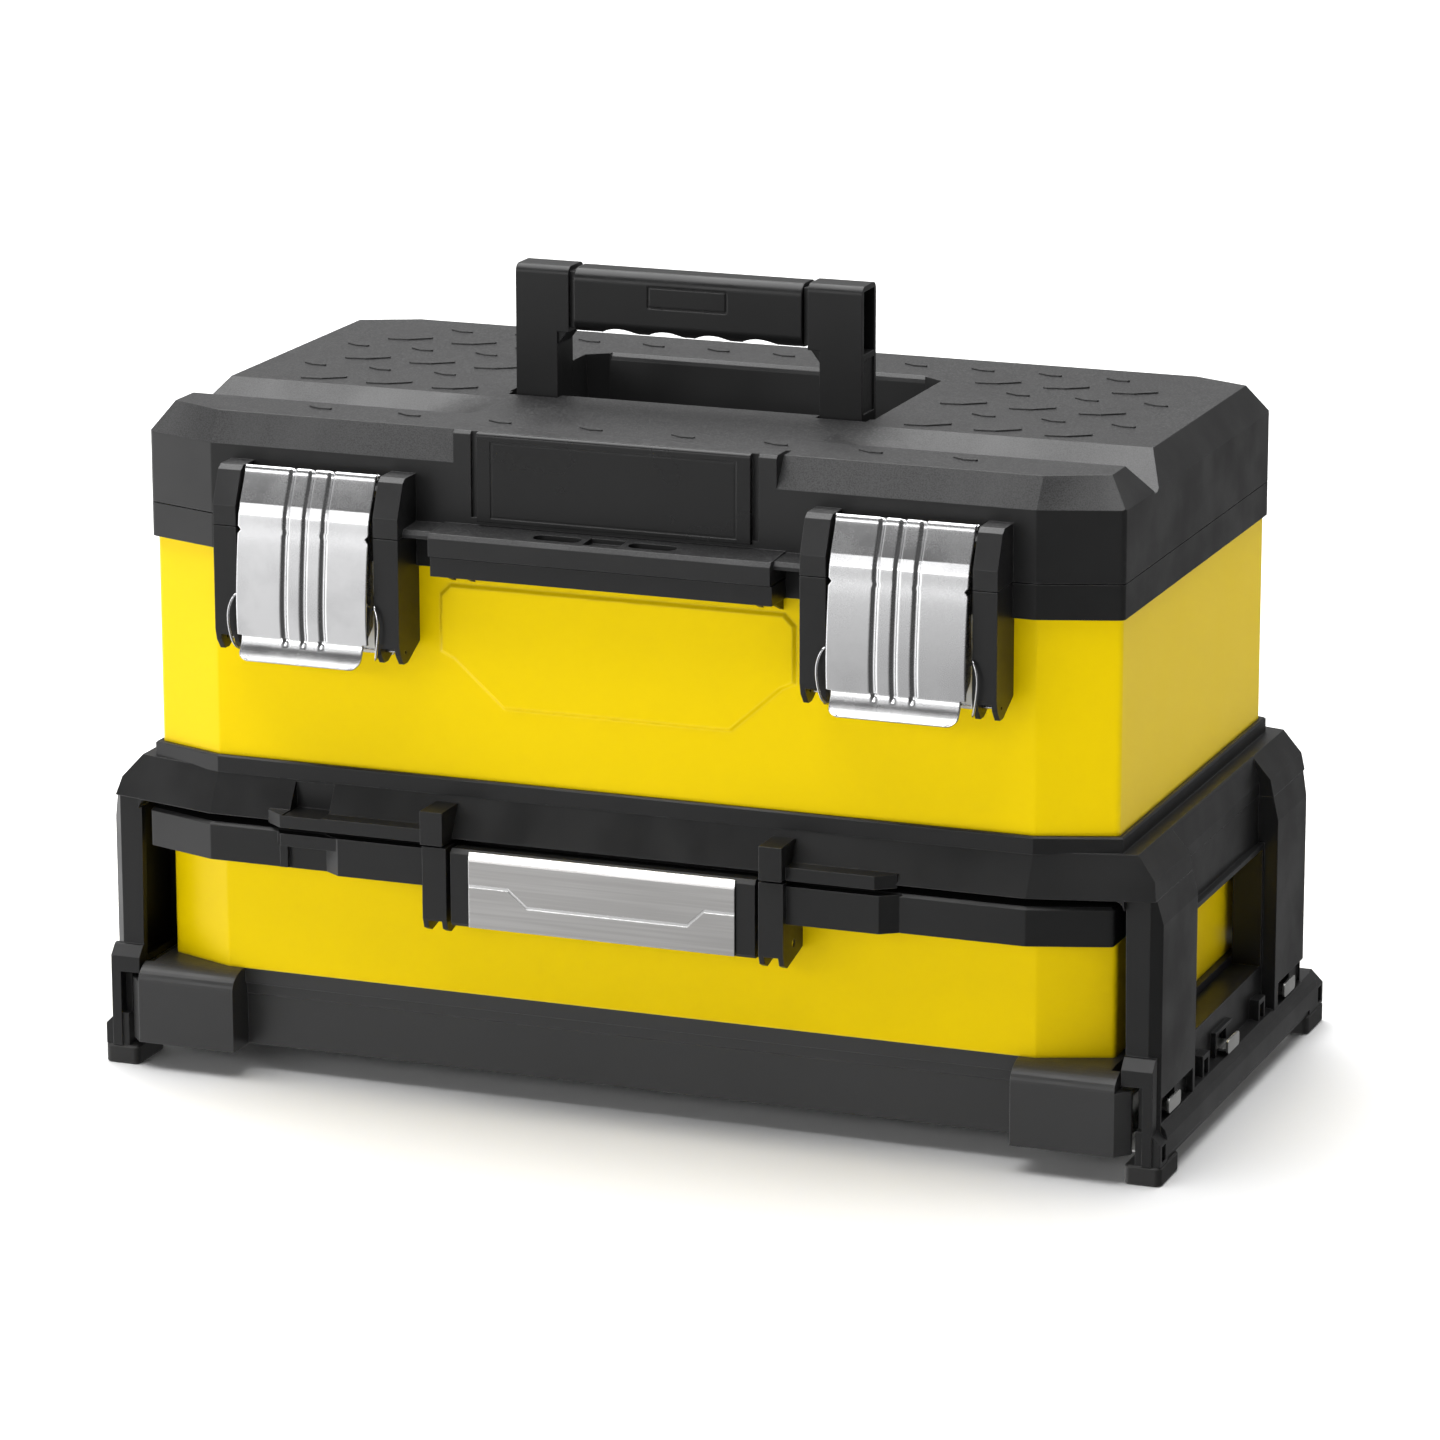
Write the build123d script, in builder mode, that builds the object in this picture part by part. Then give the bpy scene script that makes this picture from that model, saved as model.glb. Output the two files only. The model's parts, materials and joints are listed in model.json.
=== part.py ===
from build123d import *
import os
from math import cos, radians, sin

os.makedirs("parts", exist_ok=True)

# A steel and plastic tool box on a drawer housing. Millimetres, +Z up, front towards -Y.
# The origin is under the middle of the overall box, on the floor.

# ------------------------------------------------------------------ driving dimensions
FOOT_HALF_WIDTH = 272.5     # outer side of the feet
FOOT_FRONT, FOOT_REAR = -123.5, 156.5
FOOT_WIDTH, FOOT_LENGTH, FOOT_HEIGHT = 18.2, 29.7, 9.5
BEND_X = 208.0              # where the flat front bends back towards its corners

DECK_Z = 136.0              # underside of the housing's top frame
DECK_TOP_Z = 155.5
SHELL_FLOOR_Z = 152.0       # underside of the steel box
SHELL_TOP_Z = 266.3         # where the collar starts
SEAM_Z = 282.9              # collar to lid
LID_WALL_Z = 317.8          # top of the lid's upright walls
LID_TOP_Z = 332.0
TOP_Z = 335.0               # top of the raised corner nubs
TREAD = 0.8                 # height of the lid's raised pattern
STEEL = 1.2
WALL = 3.0

WINDOW_Y = (-55.5, 75.5)    # side window between the pillars
WINDOW_Z = (50.0, 110.0)
PILLAR_FRONT = (-117.5, -58.0)
PILLAR_REAR = (78.0, 133.5)
SIDE_INNER_X = 259.6        # inner face of the side frames' rails and toes
TAB_Y = (-92.0, 5.0, 103.0)             # places of the slide's fixing tabs
TAB_Z = (29.0, 36.0)
CLIP_Y = (-33.0, 62.0)      # open clip boxes between the tabs

SLIDE_Y = (-112.0, 122.0)
INNER_WEB_X = (246.6, 247.8)
OUTER_WEB_X = (257.8, 259.0)
BALL = 2.2                  # ball radius
BALL_Z = (16.0, 43.0)
BALL_PLACES = [(252.4, y, z) for z in BALL_Z for y in range(-16, 44, 8)]
CAGE_Y = (-22.0, 48.0)

LATCH_X = 149.5             # centre of each lid latch
LATCH_HALF = 33.8
LATCH_PATH = [              # y, z of the latch plate's outer face
    (-135.2, 310.0), (-144.0, 293.5), (-145.3, 289.5), (-147.2, 275.0), (-149.0, 255.0), (-149.2, 240.0),
    (-148.0, 231.0), (-149.6, 227.5), (-156.5, 220.5),
]
SHEET = 1.2                 # latch plate thickness
LATCH_PIVOT = (-137.0, 227.0)           # y, z of the wire bail's foot
LATCH_EYE = (-141.0, 247.0)             # y, z of the bail's eye in the latch plate
WIRE = 0.8                  # bail wire radius
LUG_X = ((-48.5, -35.8), (35.6, 47.5))  # lug widths about the latch centre
LUG_FRONT, LUG_BOTTOM = -144.5, 221.5
PADLOCK_HOLES = [(-24.0, -133.5), (24.0, -133.5)]

HINGE_X, HINGE_Y, HINGE_Z = 150.0, 143.5, 281.0
KNUCKLE = 4.2               # hinge knuckle radius
PIN = 2.0                   # hinge rod radius
VALLEY = ((-80.5, LID_TOP_Z), (-64.5, 316.5), (-61.0, 316.5), (-37.5, LID_TOP_Z))    # y, z across the groove
VALLEY_IN, VALLEY_FADE = 128.0, 88.0    # where the groove is full, and where it has run out
BOSS_HALF, BOSS_TOP = 81.5, 333.5
RECESS_HALF, RECESS_Y, RECESS_Z = 92.3, (-22.0, 81.9), 304.0

HANDLE_Y, HANDLE_Z = -17.5, 318.0       # handle pivot
HANDLE_PIN = 3.5
POST_X = (67.5, 89.0)
POST_Y = (-27.1, -7.5)
POST_TOP = 396.0
NOTCH_Y = -30.0             # front of the recess's notches for the posts
GRIP_HALF = 58.5
CORE_Y, CORE_Z = (-22.0, -12.6), (370.0, 388.0)     # bar through the grip

RIM_Z = (113.0, 132.0)
BASE_TOP_Z = 53.7
BLOCK_X = (200.0, 257.2)
DRAWER_LATCH_AXIS = (-127.5, 101.0)     # y, z
LATCH_SEAT_HALF = 78.6

SCREW_RADIUS = 2.0
SCREW_PLACES = [(x, y, 148.0) for x in (-200.0, 0.0, 200.0) for y in (-80.0, 100.0)]
RUNNING = 0.08              # radial play of a pin in its bore


# ------------------------------------------------------------------ shared shapes
def outline(half_width, front, front_corner, rear, rear_corner):
    """Plan shape with a flat front and rear whose ends bend back to the corners."""
    return Polygon(
        (-half_width, front_corner), (-BEND_X, front), (BEND_X, front), (half_width, front_corner),
        (half_width, rear_corner), (BEND_X, rear), (-BEND_X, rear), (-half_width, rear_corner),
        align=None,
    )


def lid_plan(inset=0.0):
    return outline(246.7 - inset, -122.5 + inset, -109.5 + inset, 138.5 - inset, 125.8 - inset)


def shell_plan(inset=0.0):
    return outline(245.0 - inset, -119.8 + inset, -106.7 + inset, 136.0 - inset, 123.9 - inset)


def drawer_plan(inset=0.0):
    return outline(243.0 - inset, -114.8 + inset, -101.5 + inset, 128.0 - inset, 117.0 - inset)


def block(x, y, z, mode=Mode.ADD):
    """Box from three (low, high) pairs."""
    centre = ((x[0] + x[1]) / 2, (y[0] + y[1]) / 2, (z[0] + z[1]) / 2)
    with Locations(centre):
        Box(x[1] - x[0], y[1] - y[0], z[1] - z[0], mode=mode)


def rod(x, y, z, radius, mode=Mode.ADD):
    """Round bar along X."""
    with Locations(((x[0] + x[1]) / 2, y, z)):
        Cylinder(radius, x[1] - x[0], rotation=(0, 90, 0), mode=mode)


def side_profile(points, x, mode=Mode.ADD):
    """Extrude a (y, z) profile along X between two planes."""
    with BuildSketch(Plane.YZ.offset(x[0])) as profile:
        Polygon(*points, align=None)
    extrude(profile.sketch, amount=x[1] - x[0], mode=mode)


def front_profile(points, y, mode=Mode.ADD):
    """Extrude an (x, z) profile along Y between two planes."""
    with BuildSketch(Plane.XZ.offset(-y[1])) as profile:
        Polygon(*points, align=None)
    extrude(profile.sketch, amount=y[1] - y[0], mode=mode)


def span(side, inner, outer):
    """Low and high x of a stretch given for the right-hand side."""
    return sorted((side * inner, side * outer))


def mirrored(solid):
    """The left-hand copy of a right-hand piece."""
    return mirror(solid, about=Plane.YZ)


# ------------------------------------------------------------------ drawer housing: top frame
def deck_plan(level):
    """Outline of the top frame at a height: it leans out as it goes down."""
    half_width, front, front_corner = {
        DECK_Z: (266.2, -132.5, -117.5),
        144.5: (264.4, -127.6, -113.2),
        DECK_TOP_Z: (254.9, -121.3, -109.0),
    }[level]
    return outline(half_width, front, front_corner, 149.0 if level < DECK_TOP_Z else 146.0, 133.5)


with BuildPart() as top_frame:
    for low, high in ((DECK_Z, 144.5), (144.5, DECK_TOP_Z)):
        for level in (low, high):
            with BuildSketch(Plane.XY.offset(level)):
                deck_plan(level)
        loft(ruled=True)
    # recess between the side pillars
    cut = ((255.2, 156.5), (258.7, 142.0), (258.7, 130.0), (275.0, 130.0), (275.0, 156.5))
    for side in (-1, 1):
        front_profile([(side * x, z) for x, z in cut], (PILLAR_FRONT[1], PILLAR_REAR[0]), Mode.SUBTRACT)
    # hollow underside above the drawer
    with BuildSketch(Plane.XY.offset(DECK_Z)):
        outline(251.5, -119.0, -103.0, 140.0, 126.0)
    extrude(amount=SHELL_FLOOR_Z - DECK_Z - 4.0, mode=Mode.SUBTRACT)
    # seat for the steel box, with its upstanding rim
    with BuildSketch(Plane.XY.offset(DECK_TOP_Z - 1.0)):
        shell_plan(-2.6)
    extrude(amount=8.5)
    chamfer(top_frame.faces().sort_by(Axis.Z)[-1].edges(), 0.8)
    with BuildSketch(Plane.XY.offset(SHELL_FLOOR_Z)):
        shell_plan(-0.1)
    extrude(amount=20.0, mode=Mode.SUBTRACT)
    # latch keepers and ledges on the front rail
    for side in (-1, 1):
        block(span(side, 80.5, 92.0), (-143.9, -124.0), (DECK_Z - 1.0, 151.5))
        ledge_end = 136.0 if side > 0 else 168.0
        with BuildSketch(Plane.XY.offset(DECK_Z - 1.5)):
            Polygon(
                (side * 92.0, -138.5), (side * ledge_end, -138.5), (side * (ledge_end + 9.0), -132.0),
                (side * (ledge_end + 9.0), -124.0), (side * 92.0, -124.0), align=None,
            )
        extrude(amount=6.5)
    block((-166.5, -146.0), (-145.0, -121.6), (140.5, 153.5), Mode.SUBTRACT)
    # rounded corners of the drawer opening
    gusset = (
        (252.4, 0.5), (247.4, 0.5), (247.4, 0.0), (250.0, -0.9), (251.4, -2.4), (252.0, -4.8), (252.0, 0.0),
        (252.4, 0.0),
    )
    for side in (-1, 1):
        front_profile([(side * x, DECK_Z + z) for x, z in gusset], (-121.0, -110.0))
    with Locations(*SCREW_PLACES):
        Cylinder(SCREW_RADIUS, 20.0, mode=Mode.SUBTRACT)
top_frame.part.label = "housing_top_frame"
export_step(top_frame.part, "parts/housing_top_frame.step")

# ------------------------------------------------------------------ drawer housing: side frames
with BuildPart() as side_frame_right:
    # front and rear pillars, bulging out below the top frame
    pillar_outline = [
        (252.0, DECK_Z), (266.2, DECK_Z), (268.8, 124.0), (268.8, FOOT_HEIGHT), (SIDE_INNER_X, FOOT_HEIGHT),
        (SIDE_INNER_X, WINDOW_Z[0]), (253.0, WINDOW_Z[0]),
    ]
    front_profile(pillar_outline, PILLAR_FRONT)
    front_profile(pillar_outline, PILLAR_REAR)
    outer_edges = side_frame_right.edges().filter_by(Axis.Z).group_by(Axis.X)[-1]
    chamfer(outer_edges.group_by(Axis.Y)[0], 5.0)
    chamfer(outer_edges.group_by(Axis.Y)[-1], 5.0)
    for low, high in (PILLAR_FRONT, PILLAR_REAR):
        block((250.0, 264.8), (low + 4.0, high - 4.0), (WINDOW_Z[0], 132.0), Mode.SUBTRACT)
    # recessed panel, window frame and sill between the pillars
    between = (PILLAR_FRONT[1] - 0.5, PILLAR_REAR[0] + 0.5)
    block((254.7, 258.7), between, (WINDOW_Z[1], DECK_Z))
    block((247.0, 262.0), between, (WINDOW_Z[0] - 2.5, WINDOW_Z[1] + 2.5))
    block((240.0, 265.0), WINDOW_Y, WINDOW_Z, Mode.SUBTRACT)
    block((SIDE_INNER_X, 262.0), between, (25.0, WINDOW_Z[0] - 2.0))
    # bottom rail with a rounded shoulder and two fine steps
    front_profile(
        [(SIDE_INNER_X, FOOT_HEIGHT), (271.2, FOOT_HEIGHT), (271.2, 12.0), (272.0, 12.0), (272.0, 21.0),
         (271.0, 24.5), (268.0, 27.5), (SIDE_INNER_X, 28.5)],
        (-112.0, 145.0),
    )
    # flared toes over the foot pads
    toe = [
        (SIDE_INNER_X, FOOT_HEIGHT), (272.0, FOOT_HEIGHT), (272.0, 20.0), (266.0, 26.0), (SIDE_INNER_X, 26.0),
    ]
    for y in ((FOOT_FRONT + 1.0, -111.0), (132.0, FOOT_REAR - 1.0)):
        front_profile(toe, y)
    # slots for the slide tabs, and two open clip boxes
    for y in TAB_Y:
        block((255.0, 275.0), (y - 12.0, y + 12.0), (TAB_Z[0] - 1.5, TAB_Z[1] + 2.5), Mode.SUBTRACT)
    for low, high in (PILLAR_FRONT, PILLAR_REAR):
        block((265.5, 275.0), (low + 6.0, high - 3.0), (TAB_Z[0] - 1.5, TAB_Z[1] + 3.5), Mode.SUBTRACT)
    for y in CLIP_Y:
        block((261.0, 267.0), (y - 5.5, y + 5.5), (24.0, 38.0))
        block((262.5, 268.0), (y - 3.5, y + 3.5), (27.5, 35.5), Mode.SUBTRACT)
    # raised frame round the middle tab
    block((261.0, 264.5), (TAB_Y[1] - 14.0, TAB_Y[1] - 12.0), (27.0, TAB_Z[1] + 4.5))
    block((261.0, 264.5), (TAB_Y[1] - 14.0, TAB_Y[1] + 13.0), (TAB_Z[1] + 2.5, TAB_Z[1] + 4.5))
    # hood and outer wall in front of the slide's mouth
    rear = PILLAR_FRONT[0] + 0.5
    hood = [(rear, 61.0), (-119.0, 60.5), (FOOT_FRONT, 55.5), (FOOT_FRONT, 47.6), (rear, 47.6)]
    side_profile(hood, (252.6, 268.0))
    block((263.0, 268.0), (FOOT_FRONT, rear), (FOOT_HEIGHT, 48.0))
    for y in (-117.0, 150.0):
        block((268.5, 273.0), (y - 3.0, y + 3.0), (11.0, 19.0), Mode.SUBTRACT)

for side, solid in (("right", side_frame_right.part), ("left", mirrored(side_frame_right.part))):
    solid.label = f"side_frame_{side}"
    export_step(solid, f"parts/side_frame_{side}.step")

# ------------------------------------------------------------------ drawer housing: rear panel and feet
with BuildPart() as rear_panel:
    with BuildSketch(Plane.XY.offset(12.0)):
        Polygon(
            (-251.5, 131.0), (-BEND_X, 146.0), (BEND_X, 146.0), (251.5, 131.0),
            (251.5, 127.0), (BEND_X, 142.0), (-BEND_X, 142.0), (-251.5, 127.0), align=None,
        )
    extrude(amount=DECK_Z - 12.0)
    block((-200.0, 200.0), (136.0, 143.0), (12.0, 15.0))
    for x in (-150.0, -50.0, 50.0, 150.0):
        block((x - 1.5, x + 1.5), (145.5, 149.0), (20.0, DECK_Z))
rear_panel.part.label = "rear_panel"
export_step(rear_panel.part, "parts/rear_panel.step")

foot_places = {"front": (FOOT_FRONT, FOOT_FRONT + FOOT_LENGTH), "rear": (FOOT_REAR - FOOT_LENGTH, FOOT_REAR)}
for end, (low, high) in foot_places.items():
    for side, sign in (("left", -1), ("right", 1)):
        with BuildPart() as foot:
            block(span(sign, FOOT_HALF_WIDTH - FOOT_WIDTH, FOOT_HALF_WIDTH), (low, high), (0.0, FOOT_HEIGHT))
            fillet(foot.edges().filter_by(Axis.Z), 3.0)
            chamfer(foot.edges().group_by(Axis.Z)[-1], 0.8)
            chamfer(foot.edges().group_by(Axis.Z)[0], 0.8)
        foot.part.label = f"foot_{end}_{side}"
        export_step(foot.part, f"parts/foot_{end}_{side}.step")

# ------------------------------------------------------------------ ball bearing slides
with BuildPart() as slide_outer:
    block(OUTER_WEB_X, SLIDE_Y, (12.2, 46.8))
    for z in ((12.2, 13.4), (45.6, 46.8)):
        block((250.5, OUTER_WEB_X[1]), SLIDE_Y, z)
    for y in TAB_Y:
        block((OUTER_WEB_X[0], 268.5), (y - 8.0, y + 8.0), (TAB_Z[0] + 1.0, TAB_Z[0] + 2.2))
        with BuildSketch(Plane.YZ.offset(268.3)):
            with Locations((y, (TAB_Z[0] + TAB_Z[1]) / 2)):
                RectangleRounded(19.0, TAB_Z[1] - TAB_Z[0], 2.0)
        extrude(amount=1.2)

with BuildPart() as slide_inner:
    block(INNER_WEB_X, SLIDE_Y, (19.0, 40.0))
    for z in ((19.0, 20.2), (38.8, 40.0)):
        block((INNER_WEB_X[0], 254.5), SLIDE_Y, z)

with BuildPart() as ball_cage:
    block((255.2, 256.2), CAGE_Y, (14.2, 44.8))
    for z in BALL_Z:
        block((250.0, 256.2), CAGE_Y, (z - 0.5, z + 0.5))
    with Locations(*BALL_PLACES):
        Sphere(BALL + 0.15, mode=Mode.SUBTRACT)

with BuildPart() as slide_balls:
    with Locations(*BALL_PLACES):
        Sphere(BALL)

for name, piece in (
    ("slide_outer", slide_outer), ("slide_inner", slide_inner),
    ("ball_cage", ball_cage), ("slide_balls", slide_balls),
):
    for side, solid in (("right", piece.part), ("left", mirrored(piece.part))):
        solid.label = f"{name}_{side}"
        export_step(solid, f"parts/{name}_{side}.step")

# ------------------------------------------------------------------ steel box
with BuildPart() as box_shell:
    with BuildSketch(Plane.XY.offset(SHELL_FLOOR_Z)):
        shell_plan()
    extrude(amount=SHELL_TOP_Z - SHELL_FLOOR_Z)
    fillet(box_shell.edges().filter_by(Axis.Z), 3.0)
    # pressed panel on the front
    with BuildSketch(Plane.XZ.offset(119.3)):
        Polygon(
            (-91.0, 224.0), (-84.0, 221.0), (-58.0, 198.0), (58.0, 198.0), (84.0, 221.0), (91.0, 224.0),
            (91.0, 253.0), (85.0, 259.0), (-85.0, 259.0), (-91.0, 253.0), align=None,
        )
    extrude(amount=2.2, taper=46)
    with BuildSketch(Plane.XY.offset(SHELL_FLOOR_Z + STEEL)):
        shell_plan(STEEL)
    extrude(amount=SHELL_TOP_Z - SHELL_FLOOR_Z, mode=Mode.SUBTRACT)
    with Locations(*SCREW_PLACES):
        Cylinder(SCREW_RADIUS, 20.0, mode=Mode.SUBTRACT)
box_shell.part.label = "steel_box_shell"
export_step(box_shell.part, "parts/steel_box_shell.step")

# ------------------------------------------------------------------ collar with the lower halves of the lugs
def lower_lug(x):
    """Deep hollow lug ending in two fin tips."""
    side_profile([
        (-119.9, SEAM_Z), (LUG_FRONT, SEAM_Z), (LUG_FRONT, 232.0), (-143.0, 226.5), (-139.0, LUG_BOTTOM),
        (-134.5, LUG_BOTTOM), (-119.9, 229.0),
    ], x)
    inner = LUG_FRONT + WALL
    side_profile([
        (-119.0, 262.0), (inner, 262.0), (inner, 229.5), (-150.0, 229.5), (-150.0, 215.0), (-119.0, 215.0),
    ], (x[0] + 2.6, x[1] - 2.6), Mode.SUBTRACT)


with BuildPart() as collar:
    with BuildSketch(Plane.XY.offset(SHELL_TOP_Z)):
        lid_plan()
    extrude(amount=SEAM_Z - SHELL_TOP_Z)
    fillet(collar.edges().filter_by(Axis.Z), 3.0)
    with BuildSketch(Plane.XY.offset(SHELL_TOP_Z - 14.0)):
        shell_plan(STEEL + 0.02)
    extrude(amount=14.0)
    with BuildSketch(Plane.XY.offset(SHELL_TOP_Z - 20.0)):
        shell_plan(STEEL + 2.8)
    extrude(amount=60.0, mode=Mode.SUBTRACT)
    # flange under the lid's lip, with small gussets at its ends
    block((-86.0, 86.0), (-141.0, -121.0), (SHELL_TOP_Z, 275.6))
    with BuildSketch(Plane.XY.offset(SHELL_TOP_Z - 2.0)):
        with Locations(*PADLOCK_HOLES):
            SlotOverall(24.0, 8.5)
    extrude(amount=12.0, mode=Mode.SUBTRACT)
    for x in (-84.0, -74.0, 72.0, 82.0):
        side_profile([(-119.9, SHELL_TOP_Z + 1), (-137.0, SHELL_TOP_Z + 1), (-119.9, 260.0)], (x, x + 2.0))
    for side in (-1, 1):
        for low, high in LUG_X:
            lower_lug(span(side, LATCH_X + low, LATCH_X + high))
        # bores for the wire bail's foot
        rod(span(side, 98.0, 200.0), *LATCH_PIVOT, WIRE + RUNNING, Mode.SUBTRACT)
    # hinge knuckles
    for side in (-1, 1):
        for shift in (-24.0, 24.0):
            x = (side * HINGE_X + shift - 6.0, side * HINGE_X + shift + 6.0)
            side_profile([(137.0, 268.0), (141.5, 268.0), (HINGE_Y + KNUCKLE, HINGE_Z), (137.0, HINGE_Z)], x)
            rod(x, HINGE_Y, HINGE_Z, KNUCKLE)
            rod((x[0] - 1, x[1] + 1), HINGE_Y, HINGE_Z, PIN, Mode.SUBTRACT)
collar.part.label = "box_collar"
export_step(collar.part, "parts/box_collar.step")

with BuildPart() as hinge_rods:
    for side in (-1, 1):
        rod((side * HINGE_X - 31.0, side * HINGE_X + 31.0), HINGE_Y, HINGE_Z, PIN)
hinge_rods.part.label = "lid_hinge_rods"
export_step(hinge_rods.part, "parts/lid_hinge_rods.step")

# steel plate behind each latch, bent at its foot
with BuildPart() as latch_back_plate:
    side_profile([(-119.9, 266.2), (-121.2, 266.2), (-121.2, 221.0), (-119.9, 221.0)],
                 (LATCH_X - 35.0, LATCH_X + 35.0))
for side, solid in (("right", latch_back_plate.part), ("left", mirrored(latch_back_plate.part))):
    solid.label = f"latch_back_plate_{side}"
    export_step(solid, f"parts/latch_back_plate_{side}.step")

# ------------------------------------------------------------------ lid
def valley(drop=0.0):
    """Groove across the lid, as a solid to cut away; drop makes it bigger all round."""
    half = BuildPart()
    with half:
        front, rear, above = VALLEY[0][0] - drop, VALLEY[3][0] + drop, LID_TOP_Z + 4.0
        floor = [(y, z - drop) for y, z in VALLEY[1:3]]
        points = [(front, above), (front, LID_TOP_Z), *floor, (rear, LID_TOP_Z), (rear, above)]
        side_profile(points, (VALLEY_IN, 260.0))
        with BuildSketch(Plane.YZ.offset(VALLEY_IN)):
            Polygon(*points, align=None)
        with BuildSketch(Plane.YZ.offset(VALLEY_FADE - drop)):
            Polygon(*[(y, max(z, LID_TOP_Z - 0.05 - drop)) for y, z in points], align=None)
        loft(ruled=True)
    return [half.part, mirrored(half.part)]


def recess(grow=0.0):
    """Well that the folded handle lies in, with two notches in front for its posts."""
    well = BuildPart()
    with well:
        with BuildSketch(Plane.XY.offset(RECESS_Z - grow)):
            half, front, rear = RECESS_HALF + grow, RECESS_Y[0] - grow, RECESS_Y[1] + grow
            Polygon(
                (-half, front), (half, front), (half, rear - 9.0), (half - 9.0, rear - 3.0),
                (-half + 9.0, rear - 3.0), (-half, rear - 9.0), align=None,
            )
        extrude(amount=LID_TOP_Z + 6.0 - RECESS_Z + grow, taper=-4.0)
        for side in (-1, 1):
            x = span(side, POST_X[0] - 1.0 - grow, half)
            block(x, (NOTCH_Y - grow, RECESS_Y[0]), (RECESS_Z - grow, LID_TOP_Z + 6.0))
    return well.part


with BuildPart(mode=Mode.PRIVATE) as lid_inside:
    with BuildSketch(Plane.XY.offset(SEAM_Z - 5.0)):
        lid_plan(WALL)
    extrude(amount=LID_WALL_Z - SEAM_Z + 4.0)
    for inset, level in ((WALL, LID_WALL_Z - 1.0), (WALL + 9.0, LID_TOP_Z - WALL)):
        with BuildSketch(Plane.XY.offset(level)):
            lid_plan(inset)
    loft(ruled=True)
    for groove in valley(WALL):
        add(groove, mode=Mode.SUBTRACT)
    add(recess(WALL), mode=Mode.SUBTRACT)
    for side in (-1, 1):
        x = span(side, RECESS_HALF + 2.0, RECESS_HALF + 12.0)
        block(x, (HANDLE_Y - 9.0, HANDLE_Y + 9.0), (HANDLE_Z - 9.0, LID_TOP_Z), Mode.SUBTRACT)


TICK = [(-6.5, 3.6), (-5.2, 4.4), (0.5, 0.9), (5.5, 1.2), (6.5, 0.0), (5.8, -1.0), (0.0, -1.4), (-6.3, 2.2)]
BAR = [
    (-10.5, -3.4), (-9.6, -2.0), (0.0, -0.2), (8.4, 5.2), (10.5, 5.6), (10.4, 4.2), (0.6, -2.6), (-9.0, -4.2),
]
NUB = [(-7.5, 6.0), (-4.0, 7.2), (2.0, 3.6), (6.5, 3.8), (8.0, 1.4), (6.6, -2.6), (0.5, -3.2), (-7.5, 2.4)]


def raised(shape, x, y, height, taper=0):
    """Raised mark on the lid's top: a short tick, a long bar or a tall corner nub."""
    with BuildSketch(Plane.XY.offset(LID_TOP_Z - 0.5)) as mark:
        with Locations((x, y)):
            Polygon(*shape, align=None)
    extrude(mark.sketch, amount=height + 0.5, taper=taper)


def upper_lug(x):
    """Short lug on the lid that meets a lower lug at the seam."""
    base = SEAM_Z + 0.5
    side_profile([
        (-121.5, base), (LUG_FRONT, base), (LUG_FRONT, 293.0), (-137.6, 309.0), (-134.6, 311.0),
        (-121.5, 311.0),
    ], x)


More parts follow.
